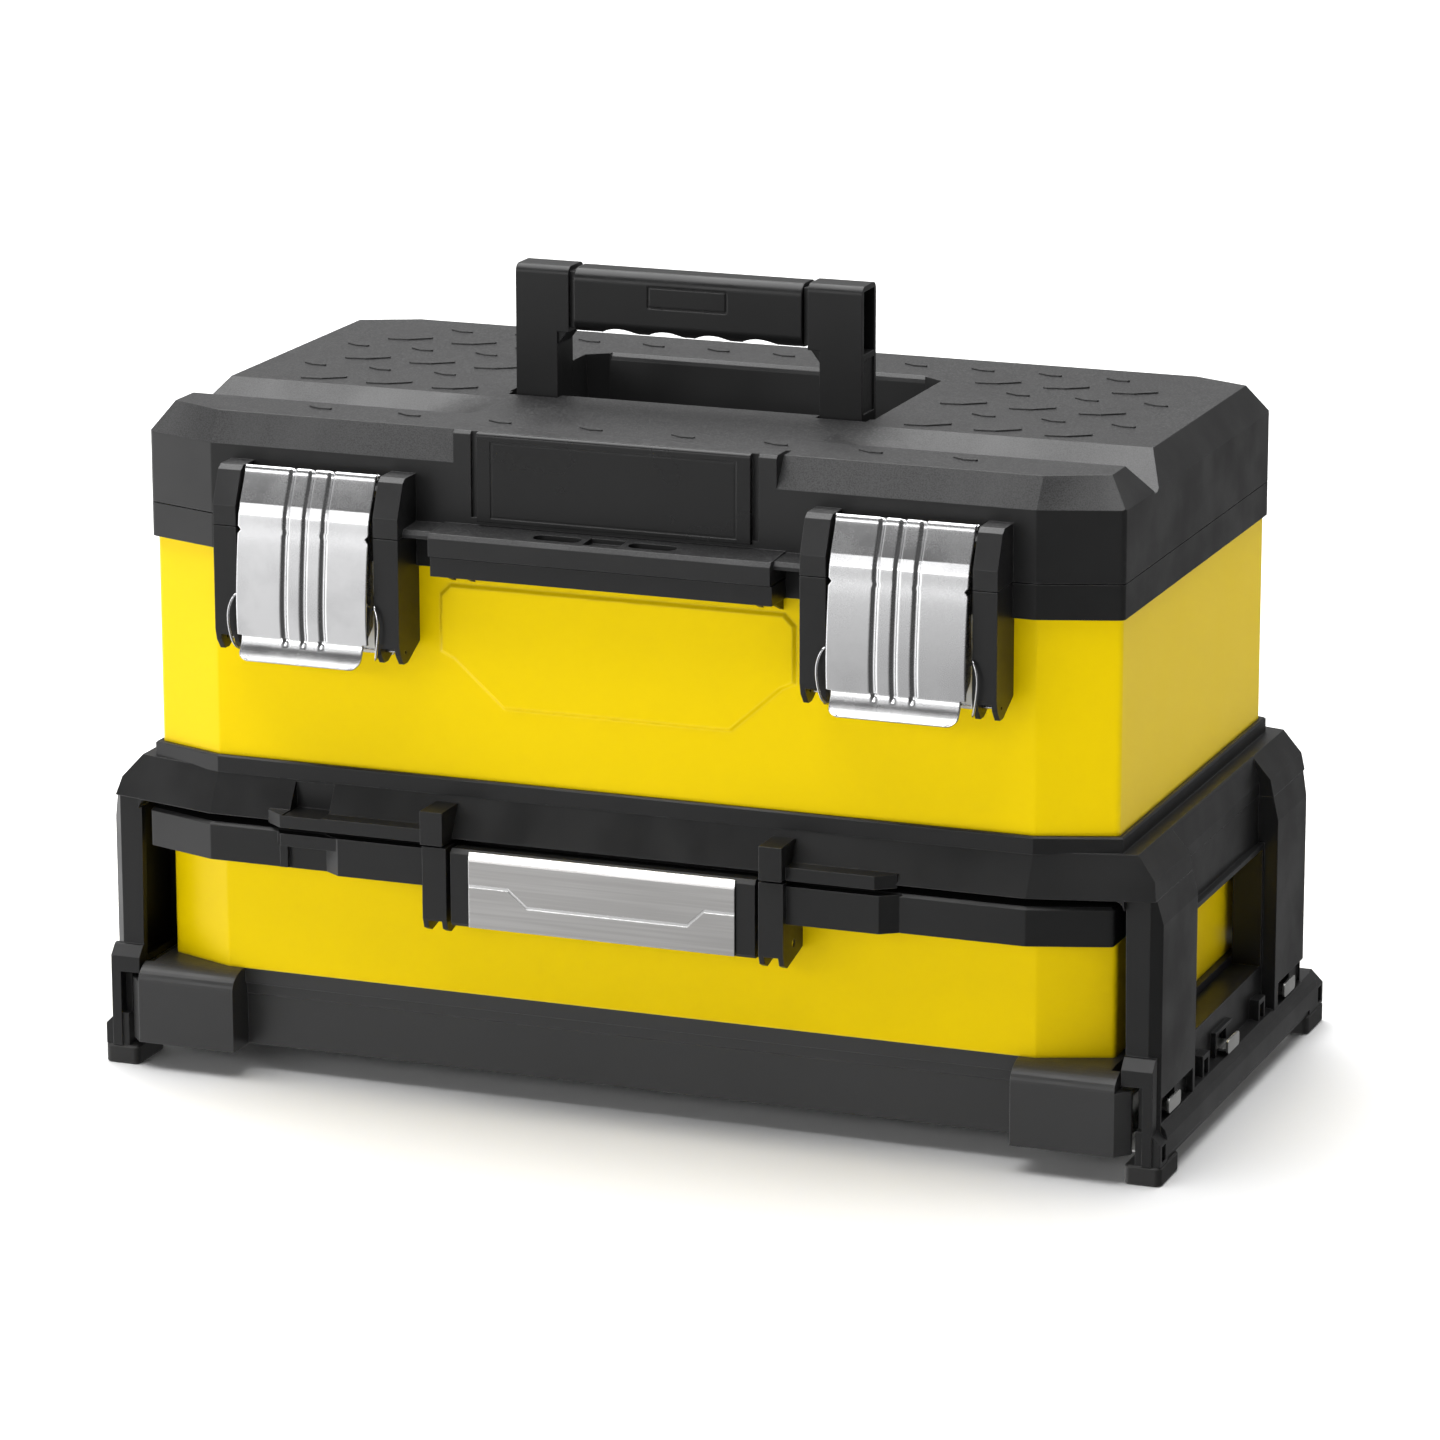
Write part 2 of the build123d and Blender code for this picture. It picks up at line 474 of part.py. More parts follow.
with BuildPart() as lid:
    with BuildSketch(Plane.XY.offset(SEAM_Z + 0.5)):
        lid_plan()
    extrude(amount=LID_WALL_Z - SEAM_Z - 0.5)
    for inset, level in ((0.0, LID_WALL_Z), (9.7, LID_TOP_Z)):
        with BuildSketch(Plane.XY.offset(level)):
            lid_plan(inset)
    loft(ruled=True)
    fillet(lid.edges().filter_by(Axis.Z), 3.0)
    # raised front block that carries the name plate
    side_profile([
        (-121.0, 290.0), (-122.5, 290.0), (-122.5, BOSS_TOP - 1.5), (-121.0, BOSS_TOP), (-110.0, BOSS_TOP),
        (-100.0, LID_TOP_Z - 0.5), (-100.0, 318.0),
    ], (-BOSS_HALF, BOSS_HALF))
    for groove in valley():
        add(groove, mode=Mode.SUBTRACT)
    add(recess(), mode=Mode.SUBTRACT)
    side_profile([(80.5, 328.4), (81.4, 330.4), (83.2, 332.1), (83.2, 334.0), (74.0, 334.0), (74.0, 328.4)],
                 (-RECESS_HALF + 9.0, RECESS_HALF - 9.0), Mode.SUBTRACT)
    add(lid_inside.part, mode=Mode.SUBTRACT)
    block((-BOSS_HALF + 4.0, BOSS_HALF - 4.0), (-119.0, -103.0), (312.0, 330.5), Mode.SUBTRACT)
    # bores for the handle's pivot pins
    rod((-101.0, 101.0), HANDLE_Y, HANDLE_Z, HANDLE_PIN + RUNNING, Mode.SUBTRACT)
    # pocket for the name plate, with a slot each side
    block((-69.2, 69.2), (-125.0, -121.5), (290.3, BOSS_TOP + 1.0), Mode.SUBTRACT)
    for side in (-1, 1):
        block(span(side, 69.0, 72.5), (-125.0, -120.8), (292.0, BOSS_TOP + 1.0), Mode.SUBTRACT)
    # lip with its neck out to the lugs, padlock holes and a small square pocket
    side_profile([
        (-121.5, 288.6), (-141.8, 287.4), (-143.5, 285.2), (-143.5, 276.4), (-123.2, 276.4), (-123.2, 283.4),
        (-121.5, 283.4),
    ], (-86.0, 86.0))
    for side in (-1, 1):
        side_profile([(-121.5, 288.0), (-137.5, 287.0), (-139.0, 285.0), (-139.0, 283.4), (-121.5, 283.4)],
                     span(side, 85.0, LATCH_X - 48.0))
    with BuildSketch(Plane.XY.offset(270.0)):
        with Locations(*PADLOCK_HOLES):
            SlotOverall(24.0, 8.5)
    extrude(amount=25.0, mode=Mode.SUBTRACT)
    block((-9.0, 9.0), (-139.5, -128.0), (285.6, 290.0), Mode.SUBTRACT)
    for side in (-1, 1):
        for low, high in LUG_X:
            upper_lug(span(side, LATCH_X + low, LATCH_X + high))
        # rounded catch bar behind each latch
        side_profile([(-121.5, 296.0), (-126.0, 298.5), (-127.5, 302.0), (-126.0, 304.0), (-121.5, 304.5)],
                     span(side, LATCH_X - 33.0, LATCH_X + 32.6))
    # raised pattern
    for x in range(-5, 6):
        raised(TICK, 35.0 * x, 104.0, TREAD)
    for side in (-1, 1):
        for x in (140.0, 175.0, 210.0):
            for y in (53.5, 1.5):
                raised(TICK, side * x, y, TREAD)
        for x in (122.0, 157.0, 192.0):
            for y in (77.5, 25.0, -27.5):
                raised(BAR, side * x, y, TREAD)
        for x in (23.3, 70.0, 117.0, 163.5):
            raised(TICK, side * x, -94.0, TREAD)
        for y in (104.0, -95.0):
            raised(NUB, side * 211.0, y, TOP_Z - LID_TOP_Z, taper=8)
    # hinge knuckles at the rear
    for side in (-1, 1):
        for shift in (-10.0, 10.0):
            x = (side * HINGE_X + shift - 6.0, side * HINGE_X + shift + 6.0)
            side_profile([(137.0, 296.0), (141.0, 294.0), (HINGE_Y + 4.0, HINGE_Z + 1.0), (HINGE_Y, HINGE_Z),
                          (139.8, HINGE_Z + 2.4), (137.0, HINGE_Z + 2.4)], x)
            rod(x, HINGE_Y, HINGE_Z, KNUCKLE)
            rod((x[0] - 1, x[1] + 1), HINGE_Y, HINGE_Z, PIN + RUNNING, Mode.SUBTRACT)
lid.part.label = "lid"
export_step(lid.part, "parts/lid.step")

with BuildPart() as name_plate:
    block((-69.0, 69.0), (-124.2, -121.6), (290.5, BOSS_TOP))
    fillet(name_plate.edges().filter_by(Axis.X).group_by(Axis.Z)[-1].sort_by(Axis.Y)[0], 2.0)
    block((-62.0, 62.0), (-126.0, -123.9), (292.5, 329.5), Mode.SUBTRACT)
    block((-61.0, 61.0), (-124.0, -123.0), (293.5, 328.5))
name_plate.part.label = "name_plate"
export_step(name_plate.part, "parts/name_plate.step")

# ------------------------------------------------------------------ carry handle
def tube_section(start, low):
    """Section of a post or stub, rounded at the rear, on a plane across X."""
    with BuildSketch(Plane.YZ.offset(start)) as section:
        Polygon((POST_Y[0], low), (POST_Y[1], low), (POST_Y[1], POST_TOP), (POST_Y[0], POST_TOP), align=None)
        fillet(section.vertices().group_by(Axis.Y)[-1].group_by(Axis.Z)[-1], 4.0)
    return section.sketch


with BuildPart() as handle_frame:
    for side in (-1, 1):
        x = span(side, *POST_X)
        extrude(tube_section(x[0], HANDLE_Z), amount=x[1] - x[0])
        rod(x, HANDLE_Y, HANDLE_Z, 9.6)
        # stub that meets the grip, with a small collar and a gusset under it
        x = span(side, 61.5, POST_X[0] + 1.0)
        extrude(tube_section(x[0], 364.0), amount=x[1] - x[0])
        block(span(side, 58.8, 62.0), (POST_Y[0] + 2.2, POST_Y[1] - 2.2), (366.0, POST_TOP - 2.4))
        front_profile([(side * 61.5, 365.5), (side * 68.0, 365.5), (side * 68.0, 357.0)], (-26.0, -9.0))
    block((-59.5, 59.5), CORE_Y, CORE_Z)
    for side in (-1, 1):
        # open tube end, a shallow panel below it, and the pin's bore
        inside = (POST_Y[0] + 2.4, POST_Y[1] - 2.4)
        block(span(side, 70.0, 92.0), inside, (363.0, POST_TOP - 2.6), Mode.SUBTRACT)
        block(span(side, 88.3, 92.0), inside, (334.0, 360.0), Mode.SUBTRACT)
        rod(span(side, 66.0, 92.0), HANDLE_Y, HANDLE_Z, HANDLE_PIN, Mode.SUBTRACT)
handle_frame.part.label = "handle_frame"
export_step(handle_frame.part, "parts/handle_frame.step")

with BuildPart() as handle_grip:
    with BuildSketch(Plane.YZ.offset(-GRIP_HALF)) as grip_section:
        with Locations((HANDLE_Y, 380.0)):
            RectangleRounded(20.4, 31.0, 6.0)
    extrude(amount=2 * GRIP_HALF)
    for x in (-36.0, -12.0, 12.0, 36.0):
        with Locations((x, HANDLE_Y, 349.0)):
            Cylinder(18.2, 24.0, rotation=(90, 0, 0), mode=Mode.SUBTRACT)
    block((-60.0, 60.0), CORE_Y, CORE_Z, Mode.SUBTRACT)
    with BuildSketch(Plane.XZ.offset(27.2)):
        with Locations((0.0, 384.0)):
            RectangleRounded(41.0, 11.0, 1.0)
            RectangleRounded(39.0, 9.0, 0.6, mode=Mode.SUBTRACT)
    extrude(amount=1.0, mode=Mode.SUBTRACT)
handle_grip.part.label = "handle_grip"
export_step(handle_grip.part, "parts/handle_grip.step")

with BuildPart() as handle_pins:
    for side in (-1, 1):
        rod(span(side, 72.0, 98.0), HANDLE_Y, HANDLE_Z, HANDLE_PIN)
handle_pins.part.label = "handle_pivot_pins"
export_step(handle_pins.part, "parts/handle_pivot_pins.step")

# ------------------------------------------------------------------ lid latches
def sheet_profile(path, thickness):
    """Closed profile of a bent sheet: its outer line, then the same line moved back."""
    return path + [(y + thickness, z - 0.2 * thickness) for y, z in reversed(path)]


with BuildPart() as latch_plate:
    side_profile(sheet_profile(LATCH_PATH, SHEET), (LATCH_X - LATCH_HALF, LATCH_X + LATCH_HALF))
    # rolled top edge
    rod((LATCH_X - LATCH_HALF, LATCH_X + LATCH_HALF), -134.4, 309.6, 1.1)
    # side flanges that carry the eyes
    for x in (LATCH_X - LATCH_HALF, LATCH_X + LATCH_HALF - SHEET):
        side_profile([
            (-144.4, 289.0), (-148.4, 255.0), (-148.4, 236.0),
            (-137.6, 241.0), (-137.6, 252.0), (-141.0, 286.0),
        ], (x, x + SHEET))
        rod((x - 1.0, x + SHEET + 1.0), *LATCH_EYE, WIRE + RUNNING, Mode.SUBTRACT)
    # three pressed grooves
    for x in (-11.0, -1.0, 9.0):
        outer = [(y - 2.0, z) for y, z in LATCH_PATH[:-2]]
        side_profile(outer + [(y + 0.5, z) for y, z in reversed(LATCH_PATH[:-2])],
                     (LATCH_X + x - 1.2, LATCH_X + x + 1.2), Mode.SUBTRACT)
    # the lip is narrower than the plate, with rounded corners
    for side in (-1, 1):
        x = LATCH_X + side * LATCH_HALF
        block(sorted((x - side * 2.4, x + side)), (-160.0, -140.0), (212.0, 232.0), Mode.SUBTRACT)
        block(sorted((x - side * 1.6, x + side)), (-150.0, -141.5), (281.5, 284.0), Mode.SUBTRACT)
        lip_end = x - side * 2.4
        corner = ((-1.0, 218.0), (5.0, 218.0), (4.6, 220.7), (1.5, 222.3), (0.0, 225.5), (-1.0, 225.5))
        front_profile([(lip_end - side * inward, z) for inward, z in corner], (-160.0, -146.0), Mode.SUBTRACT)

ARM = Vector(0, LATCH_EYE[0] - LATCH_PIVOT[0], LATCH_EYE[1] - LATCH_PIVOT[1])     # bail arm, foot to eye
with BuildPart() as latch_bail:
    rod((LATCH_X - 44.0, LATCH_X + 43.6), *LATCH_PIVOT, WIRE)
    for side in (-1, 1):
        x = LATCH_X + side * 34.7
        with BuildSketch(Plane(origin=(x, *LATCH_PIVOT), z_dir=ARM)):
            Circle(WIRE * 0.7)
        extrude(amount=ARM.length)
        rod(sorted((x + side * WIRE * 0.7, x - side * 3.2)), *LATCH_EYE, WIRE)
for name, piece in (("latch_plate", latch_plate), ("latch_bail", latch_bail)):
    for side, solid in (("right", piece.part), ("left", mirrored(piece.part))):
        solid.label = f"{name}_{side}"
        export_step(solid, f"parts/{name}_{side}.step")

# ------------------------------------------------------------------ drawer
crown = [       # y, z of the corner blocks' rounded top front edge
    (-115.0 - 13.5 * cos(radians(turn)), 45.0 + (BASE_TOP_Z - 45.0) * sin(radians(turn)))
    for turn in range(0, 91, 9)
]

with BuildPart() as drawer_base:
    # tray with a floor, and a front beam between two corner blocks
    block((-246.6, 246.6), (-101.0, 124.0), (14.0, 48.0))
    with BuildSketch(Plane.XY.offset(48.0)):
        outline(246.6, -110.6, -104.0, 126.0, 115.0)
    extrude(amount=BASE_TOP_Z - 48.0)
    side_profile([
        (-100.0, BASE_TOP_Z), (-111.7, BASE_TOP_Z), (-111.7, 40.2), (-111.0, 39.6), (-111.0, 14.0),
        (-100.0, 14.0),
    ], (-BLOCK_X[0], BLOCK_X[0]))
    with BuildSketch(Plane.XY.offset(BASE_TOP_Z - 8.0)):
        drawer_plan(STEEL + 0.02)
    extrude(amount=16.0)
    with BuildSketch(Plane.XY.offset(17.0)):
        outline(243.6, -98.0, -96.0, 121.0, 113.0)
    extrude(amount=BASE_TOP_Z - 8.0 - 17.0, mode=Mode.SUBTRACT)
    with BuildSketch(Plane.XY.offset(30.0)):
        outline(239.6, -98.0, -96.0, 121.0, 113.0)
    extrude(amount=60.0, mode=Mode.SUBTRACT)
    for side in (-1, 1):
        side_profile([(-100.5, 14.0), (-128.5, 14.0), *crown, (-100.5, BASE_TOP_Z)], span(side, *BLOCK_X))
        # bevelled outer corner
        with BuildSketch(Plane.XY.offset(10.0)) as bevel:
            Polygon(
                (side * 250.4, -130.0), (side * 260.0, -130.0), (side * 260.0, -119.0),
                (side * 257.2, -121.6), (side * 251.0, -128.5), align=None,
            )
        extrude(bevel.sketch, amount=50.0, mode=Mode.SUBTRACT)
        # step behind the block clears the pillar
        block(span(side, 246.6, 262.0), (-119.2, -95.0), (10.0, 60.0), Mode.SUBTRACT)
        block(span(side, 251.0, 262.0), (-130.0, -95.0), (45.0, 60.0), Mode.SUBTRACT)
drawer_base.part.label = "drawer_base"
export_step(drawer_base.part, "parts/drawer_base.step")

with BuildPart() as drawer_shell:
    with BuildSketch(Plane.XY.offset(BASE_TOP_Z)):
        drawer_plan()
    extrude(amount=RIM_Z[0] - BASE_TOP_Z)
    fillet(drawer_shell.edges().filter_by(Axis.Z), 3.0)
    with BuildSketch(Plane.XY.offset(BASE_TOP_Z)):
        drawer_plan(STEEL)
    extrude(amount=RIM_Z[0] - BASE_TOP_Z, mode=Mode.SUBTRACT)
drawer_shell.part.label = "drawer_steel_wrap"
export_step(drawer_shell.part, "parts/drawer_steel_wrap.step")

with BuildPart() as drawer_rim:
    with BuildSketch(Plane.XY.offset(RIM_Z[0])):
        outline(246.6, -132.3, -119.3, 131.0, 119.0)
    extrude(amount=RIM_Z[1] - RIM_Z[0])
    fillet(drawer_rim.edges().filter_by(Axis.Z), 2.5)
    chamfer(drawer_rim.faces().sort_by(Axis.Z)[-1].edges(), 1.5)
    # thicker stretches beside the latch
    for side in (-1, 1):
        with BuildSketch(Plane.XY.offset(RIM_Z[0])):
            Polygon(
                (side * 84.0, -137.8), (side * 138.0, -137.8), (side * 147.5, -131.5),
                (side * 147.5, -124.0), (side * 84.0, -124.0), align=None,
            )
        extrude(amount=RIM_Z[1] - RIM_Z[0] - 0.5)
    # thicker top edge and rib outside the left stretch
    with BuildSketch(Plane.XY.offset(125.0)):
        Polygon(
            (-172.5, -131.5), (-168.5, -137.2), (-137.0, -137.2), (-137.0, -124.0), (-172.5, -124.0),
            align=None,
        )
    extrude(amount=6.2)
    block((-170.0, -165.8), (-134.6, -124.0), (RIM_Z[0] + 0.6, 126.0))
    with BuildSketch(Plane.XY.offset(RIM_Z[0] - 1.0)):
        outline(236.0, -111.5, -98.5, 124.0, 113.0)
    extrude(amount=30.0, mode=Mode.SUBTRACT)
    # tongue inside the steel wrap
    with BuildSketch(Plane.XY.offset(RIM_Z[0] - 12.0)):
        drawer_plan(STEEL + 0.02)
    extrude(amount=12.0)
    with BuildSketch(Plane.XY.offset(RIM_Z[0] - 13.0)):
        outline(239.2, -111.2, -98.0, 124.4, 113.4)
    extrude(amount=13.0, mode=Mode.SUBTRACT)
    # seat for the latch
    seat = (RIM_Z[0] - 1.0, RIM_Z[1] + 1.0)
    block((-LATCH_SEAT_HALF, LATCH_SEAT_HALF), (-140.0, -117.5), seat, Mode.SUBTRACT)
    # hollow underside of the front rail
    for x in ((-200.0, -96.0), (96.0, 200.0)):
        block(x, (-128.5, -118.5), (RIM_Z[0] - 0.5, RIM_Z[1] - 3.0), Mode.SUBTRACT)
    # lugs that carry the latch, ending in two fin tips
    for side in (-1, 1):
        x = span(side, 79.6, 92.0)
        top = RIM_Z[1] + 1.5
        side_profile([
            (-114.85, top), (-141.8, top), (-141.8, 98.0), (-140.0, 93.0), (-136.0, 91.0), (-114.85, 96.0),
        ], x)
        side_profile([
            (-114.0, 125.0), (-138.6, 125.0), (-138.6, 97.0), (-150.0, 97.0), (-150.0, 85.0), (-114.0, 85.0),
        ], (x[0] + 2.6, x[1] - 2.6), Mode.SUBTRACT)
    rod((-93.0, 93.0), *DRAWER_LATCH_AXIS, PIN, Mode.SUBTRACT)
drawer_rim.part.label = "drawer_rim"
export_step(drawer_rim.part, "parts/drawer_rim.step")

with BuildPart() as latch_pin:
    rod((-91.5, 91.5), *DRAWER_LATCH_AXIS, PIN)
latch_pin.part.label = "drawer_latch_pin"
export_step(latch_pin.part, "parts/drawer_latch_pin.step")

# ------------------------------------------------------------------ drawer latch
with BuildPart() as drawer_latch:
    side_profile([
        (-118.6, 130.5), (-127.0, 132.6), (-139.0, 133.6), (-141.0, 131.5), (-141.0, 97.0), (-139.5, 95.3),
        (-131.5, 95.3), (-127.0, 96.6), (-122.6, 101.5), (-121.0, 112.0), (-118.6, 118.0),
    ], (-77.6, 77.6))
    block((-68.0, 68.0), (-142.0, -140.2), (94.0, 135.0), Mode.SUBTRACT)
    # hollow back
    block((-66.0, 66.0), (-137.5, -117.0), (107.0, 127.0), Mode.SUBTRACT)
    for x in (-40.0, 0.0, 40.0):
        block((x - 1.2, x + 1.2), (-138.0, -122.0), (106.5, 127.5))
    rod((-79.0, 79.0), *DRAWER_LATCH_AXIS, PIN + RUNNING, Mode.SUBTRACT)
drawer_latch.part.label = "drawer_latch"
export_step(drawer_latch.part, "parts/drawer_latch.step")

with BuildPart() as face_plate:
    side_profile([
        (-140.2, 133.2), (-141.0, 133.0), (-142.2, 128.6), (-142.2, 96.0), (-140.2, 96.0),
    ], (-67.8, 67.8))
    # fine groove that steps down in the middle
    groove = [(-68.0, 116.5), (-47.5, 116.5), (-38.0, 108.5), (44.0, 108.5), (52.5, 116.5), (68.0, 116.5)]
    front_profile([(x, z + 0.7) for x, z in groove] + [(x, z - 0.7) for x, z in reversed(groove)],
                  (-143.0, -141.9), Mode.SUBTRACT)
face_plate.part.label = "latch_face_plate"
export_step(face_plate.part, "parts/latch_face_plate.step")

# ------------------------------------------------------------------ screws
with BuildPart() as box_screws:
    with Locations(*SCREW_PLACES):
        Cylinder(4.0, 2.4, align=(Align.CENTER, Align.CENTER, Align.MAX))
        Cylinder(SCREW_RADIUS, 9.0, align=(Align.CENTER, Align.CENTER, Align.MIN))
box_screws.part.label = "box_fixing_screws"
export_step(box_screws.part, "parts/box_fixing_screws.step")
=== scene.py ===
import json
import math

import bmesh
import bpy
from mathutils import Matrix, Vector


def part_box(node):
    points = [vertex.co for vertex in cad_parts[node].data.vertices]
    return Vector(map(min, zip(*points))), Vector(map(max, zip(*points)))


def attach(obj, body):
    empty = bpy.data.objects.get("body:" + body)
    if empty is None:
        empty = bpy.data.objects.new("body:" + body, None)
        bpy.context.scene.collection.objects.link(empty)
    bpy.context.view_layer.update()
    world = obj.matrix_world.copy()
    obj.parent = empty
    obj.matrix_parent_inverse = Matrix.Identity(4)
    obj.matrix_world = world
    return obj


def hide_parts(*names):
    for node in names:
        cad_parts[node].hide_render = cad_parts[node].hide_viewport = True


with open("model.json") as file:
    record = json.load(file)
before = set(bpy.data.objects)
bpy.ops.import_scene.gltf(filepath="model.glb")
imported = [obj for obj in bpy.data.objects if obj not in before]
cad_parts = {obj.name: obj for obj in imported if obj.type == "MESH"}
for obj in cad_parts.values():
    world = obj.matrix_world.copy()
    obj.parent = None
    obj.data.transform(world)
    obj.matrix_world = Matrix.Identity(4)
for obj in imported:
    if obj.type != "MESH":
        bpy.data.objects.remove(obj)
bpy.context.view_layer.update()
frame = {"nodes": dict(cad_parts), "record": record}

# A steel and plastic tool box on a drawer housing. Metres, in the CAD frame: front towards -Y.
nodes = frame["nodes"]
MM = 0.001
BEVEL_SAMPLES = 5
EDGE_COSINES = (0.995, 0.9)     # between the flat and the rounded normal: no edge, full edge


# ------------------------------------------------------------------ node helpers
class Nodes:
    """Short calls for building one node tree."""

    def __init__(self, tree):
        self.tree = tree
        self.coords = None

    def add(self, kind, **settings):
        node = self.tree.nodes.new(kind)
        for key, value in settings.items():
            setattr(node, key, value)
        return node

    def feed(self, socket, value):
        """Link a socket, or set it to a number or a colour."""
        if isinstance(value, bpy.types.NodeSocket):
            self.tree.links.new(value, socket)
        elif isinstance(value, tuple) and len(value) == 3 and socket.type == "RGBA":
            socket.default_value = (*value, 1.0)
        else:
            socket.default_value = value

    def object_place(self):
        """Coordinates of the object itself, which stay put when it moves."""
        if self.coords is None:
            self.coords = self.add("ShaderNodeTexCoord").outputs["Object"]
        return self.coords

    def noise(self, scale, detail=3.0, stretch=(1.0, 1.0, 1.0)):
        """Noise in object space; a small stretch number draws it out along that axis."""
        coords = self.object_place()
        mapping = self.add("ShaderNodeMapping")
        mapping.inputs["Scale"].default_value = stretch
        self.feed(mapping.inputs["Vector"], coords)
        texture = self.add("ShaderNodeTexNoise")
        texture.inputs["Scale"].default_value = scale
        texture.inputs["Detail"].default_value = detail
        self.feed(texture.inputs["Vector"], mapping.outputs["Vector"])
        return texture.outputs["Fac"]

    def span(self, value, start, end, low=0.0, high=1.0):
        """Smooth step of a value between start and end, on to low..high."""
        node = self.add("ShaderNodeMapRange", interpolation_type="SMOOTHSTEP")
        for name, number in (("From Min", start), ("From Max", end), ("To Min", low), ("To Max", high)):
            node.inputs[name].default_value = number
        self.feed(node.inputs["Value"], value)
        return node.outputs["Result"]

    def mix(self, factor, first, second):
        """Colour between two colours."""
        node = self.add("ShaderNodeMix", data_type="RGBA")
        self.feed(node.inputs[0], factor)
        self.feed(node.inputs[6], first)
        self.feed(node.inputs[7], second)
        return node.outputs[2]

    def maths(self, operation, first, second):
        node = self.add("ShaderNodeMath", operation=operation)
        self.feed(node.inputs[0], first)
        self.feed(node.inputs[1], second)
        return node.outputs[0]

    def times(self, first, second):
        return self.maths("MULTIPLY", first, second)

    def plus(self, first, second):
        return self.maths("ADD", first, second)

    def normal_part(self, axis):
        """One component of the true surface normal."""
        parts = self.add("ShaderNodeSeparateXYZ")
        self.feed(parts.inputs[0], self.add("ShaderNodeNewGeometry").outputs["True Normal"])
        return parts.outputs[axis]

    def place_part(self, axis):
        """One component of the place on the object."""
        coords = self.object_place()
        parts = self.add("ShaderNodeSeparateXYZ")
        self.feed(parts.inputs[0], coords)
        return parts.outputs[axis]

    def rounding(self, radius):
        """Normal with the edges rounded off, and a mask of where they are."""
        bevel = self.add("ShaderNodeBevel", samples=BEVEL_SAMPLES)
        bevel.inputs["Radius"].default_value = radius
        dot = self.add("ShaderNodeVectorMath", operation="DOT_PRODUCT")
        self.feed(dot.inputs[0], bevel.outputs["Normal"])
        self.feed(dot.inputs[1], self.add("ShaderNodeNewGeometry").outputs["Normal"])
        return bevel.outputs["Normal"], self.span(dot.outputs["Value"], *EDGE_COSINES)

    def bump(self, height, strength, distance, normal):
        node = self.add("ShaderNodeBump")
        node.inputs["Strength"].default_value = strength
        node.inputs["Distance"].default_value = distance
        self.feed(node.inputs["Height"], height)
        self.feed(node.inputs["Normal"], normal)
        return node.outputs["Normal"]


def new_material(name):
    """A material, its node helper and the inputs of its Principled shader."""
    material = bpy.data.materials.new(name)
    material.use_nodes = True
    return material, Nodes(material.node_tree), material.node_tree.nodes["Principled BSDF"].inputs


# ------------------------------------------------------------------ materials
def moulded_plastic(name, tone, rough, grain=0.3, top_grain_and_sheen=0.0, flow=0.0, edge=0.6, specular=0.5):
    """Injection-moulded plastic: cloudy tone, spark grain with painted sheen on level tops, painted sheen on slopes
    towards the front, flow marks on slopes, scuffed edges with a painted edge highlight.

    tone is the base colour, rough the range of roughness, grain the height of the fine texture everywhere,
    top_grain_and_sheen how strongly the grain and the painted sheen show on level faces and front slopes, flow how
    strongly flow marks show and edge a radius in mm.
    """
    material, n, shader = new_material(name)
    dark = tuple(0.8 * channel for channel in tone)
    light = tuple(1.25 * channel for channel in tone)
    pale_marks_and_sheen = tuple(2.6 * channel + 0.02 for channel in tone)
    rounded, edges = n.rounding(edge * MM)
    fine = n.noise(1700.0, 2.0)
    # masks by the way a face points: level tops, slopes, and slopes towards the front; level tops and front slopes
    # are painted paler as painted sheen
    upward = n.span(n.normal_part("Z"), 0.82, 0.96)
    slope = n.times(n.span(n.normal_part("Z"), 0.3, 0.5), n.span(n.normal_part("Z"), 0.8, 0.96, 1.0, 0.0))
    colour = n.mix(n.noise(11.0, 4.0), dark, light)
    # painted sheen: level tops are sprinkled with pale specks, standing in for the overhead light they catch
    sheen_specks_on_tops = n.times(n.span(n.noise(850.0, 3.0), 0.46, 0.66), upward)
    colour = n.mix(n.times(sheen_specks_on_tops, 0.12 + top_grain_and_sheen), colour, pale_marks_and_sheen)
    # painted sheen: slopes towards the front are painted paler in a fine pattern, standing in for the light they
    # catch
    front_slope_sheen = n.times(n.span(n.normal_part("Y"), -0.5, -0.2, 1.0, 0.0), n.span(n.normal_part("Z"), 0.38, 0.52))
    colour = n.mix(n.times(n.times(front_slope_sheen, n.span(fine, 0.3, 0.65)), top_grain_and_sheen), colour, pale_marks_and_sheen)
    marks = n.span(n.noise(26.0, 3.0, (1.0, 0.25, 0.25)), 0.45, 0.7)
    colour = n.mix(n.times(n.times(slope, marks), flow), colour, pale_marks_and_sheen)
    # edges are painted pale in patches: partly wear, partly a painted edge highlight
    scuffs_and_edge_highlight = n.times(edges, n.span(n.noise(75.0, 5.0), 0.3, 0.7, 0.35, 0.95))
    colour = n.mix(scuffs_and_edge_highlight, colour, pale_marks_and_sheen)
    n.feed(shader["Base Color"], colour)
    duller_top = 0.12 if top_grain_and_sheen > 0 else 0.0
    smooth = n.plus(n.span(n.noise(28.0, 5.0), 0.25, 0.75, *rough), n.times(upward, duller_top))
    n.feed(shader["Roughness"], n.plus(smooth, n.times(edges, -0.08)))
    shader["Specular IOR Level"].default_value = specular
    height = n.times(fine, n.plus(n.times(upward, 2.0 * top_grain_and_sheen), grain))
    n.feed(shader["Normal"], n.bump(height, 0.55, 0.14 * MM, rounded))
    return material


# paler yellow for edges: wear and a painted edge highlight
WORN_EDGE_AND_HIGHLIGHT = (1.0, 0.83, 0.16)
PAINT_SHINE = (1.0, 0.78, 0.12)     # reflections keep the paint's own yellow


